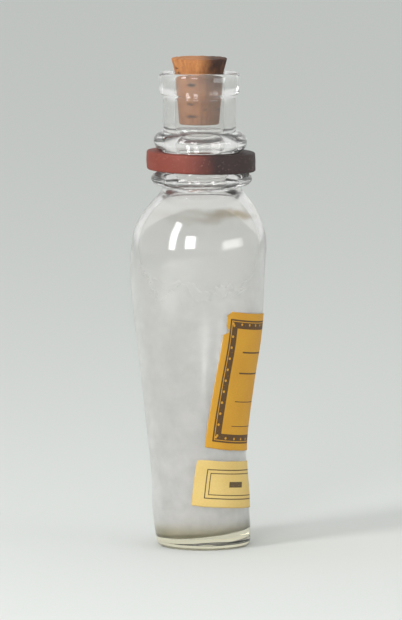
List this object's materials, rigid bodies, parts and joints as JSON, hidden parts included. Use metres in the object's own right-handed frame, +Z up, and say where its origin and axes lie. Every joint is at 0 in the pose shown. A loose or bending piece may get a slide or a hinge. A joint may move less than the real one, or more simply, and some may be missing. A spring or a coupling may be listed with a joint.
{
  "type": "corked glass bottle",
  "caption": "Slender clear glass bottle with a swelling body, beaded neck and plain lip, closed by a cork, with a rubber ring round the neck and blank paper labels.",
  "frame": {"origin": "centre of the foot, on the surface that the bottle stands on", "axes": "+Z up the bottle's axis, from the foot to the mouth; +X towards the side with the labels, which face 18 degrees from it towards -Y; the picture looks along +Y"},
  "size_m": [0.044, 0.044, 0.159],
  "materials": {
    "glass": "clear, slightly hazed inside",
    "cork": "natural cork, aged",
    "rubber": "dull red-brown, aged",
    "upper_paper": "ochre yellow, matt, printed border",
    "lower_paper": "buff, matt, printed lines"
  },
  "bodies": {
    "bottle": {"bottle": "glass", "neck_ring": "rubber", "upper_label": "upper_paper", "lower_label": "lower_paper"},
    "stopper": {"cork_stopper": "cork"}
  },
  "joints": [
    {"name": "stopper_pull", "type": "slide", "parent": "bottle", "child": "stopper", "axis": [0, 0, 1], "range_m": [0, 0.025]}
  ]
}
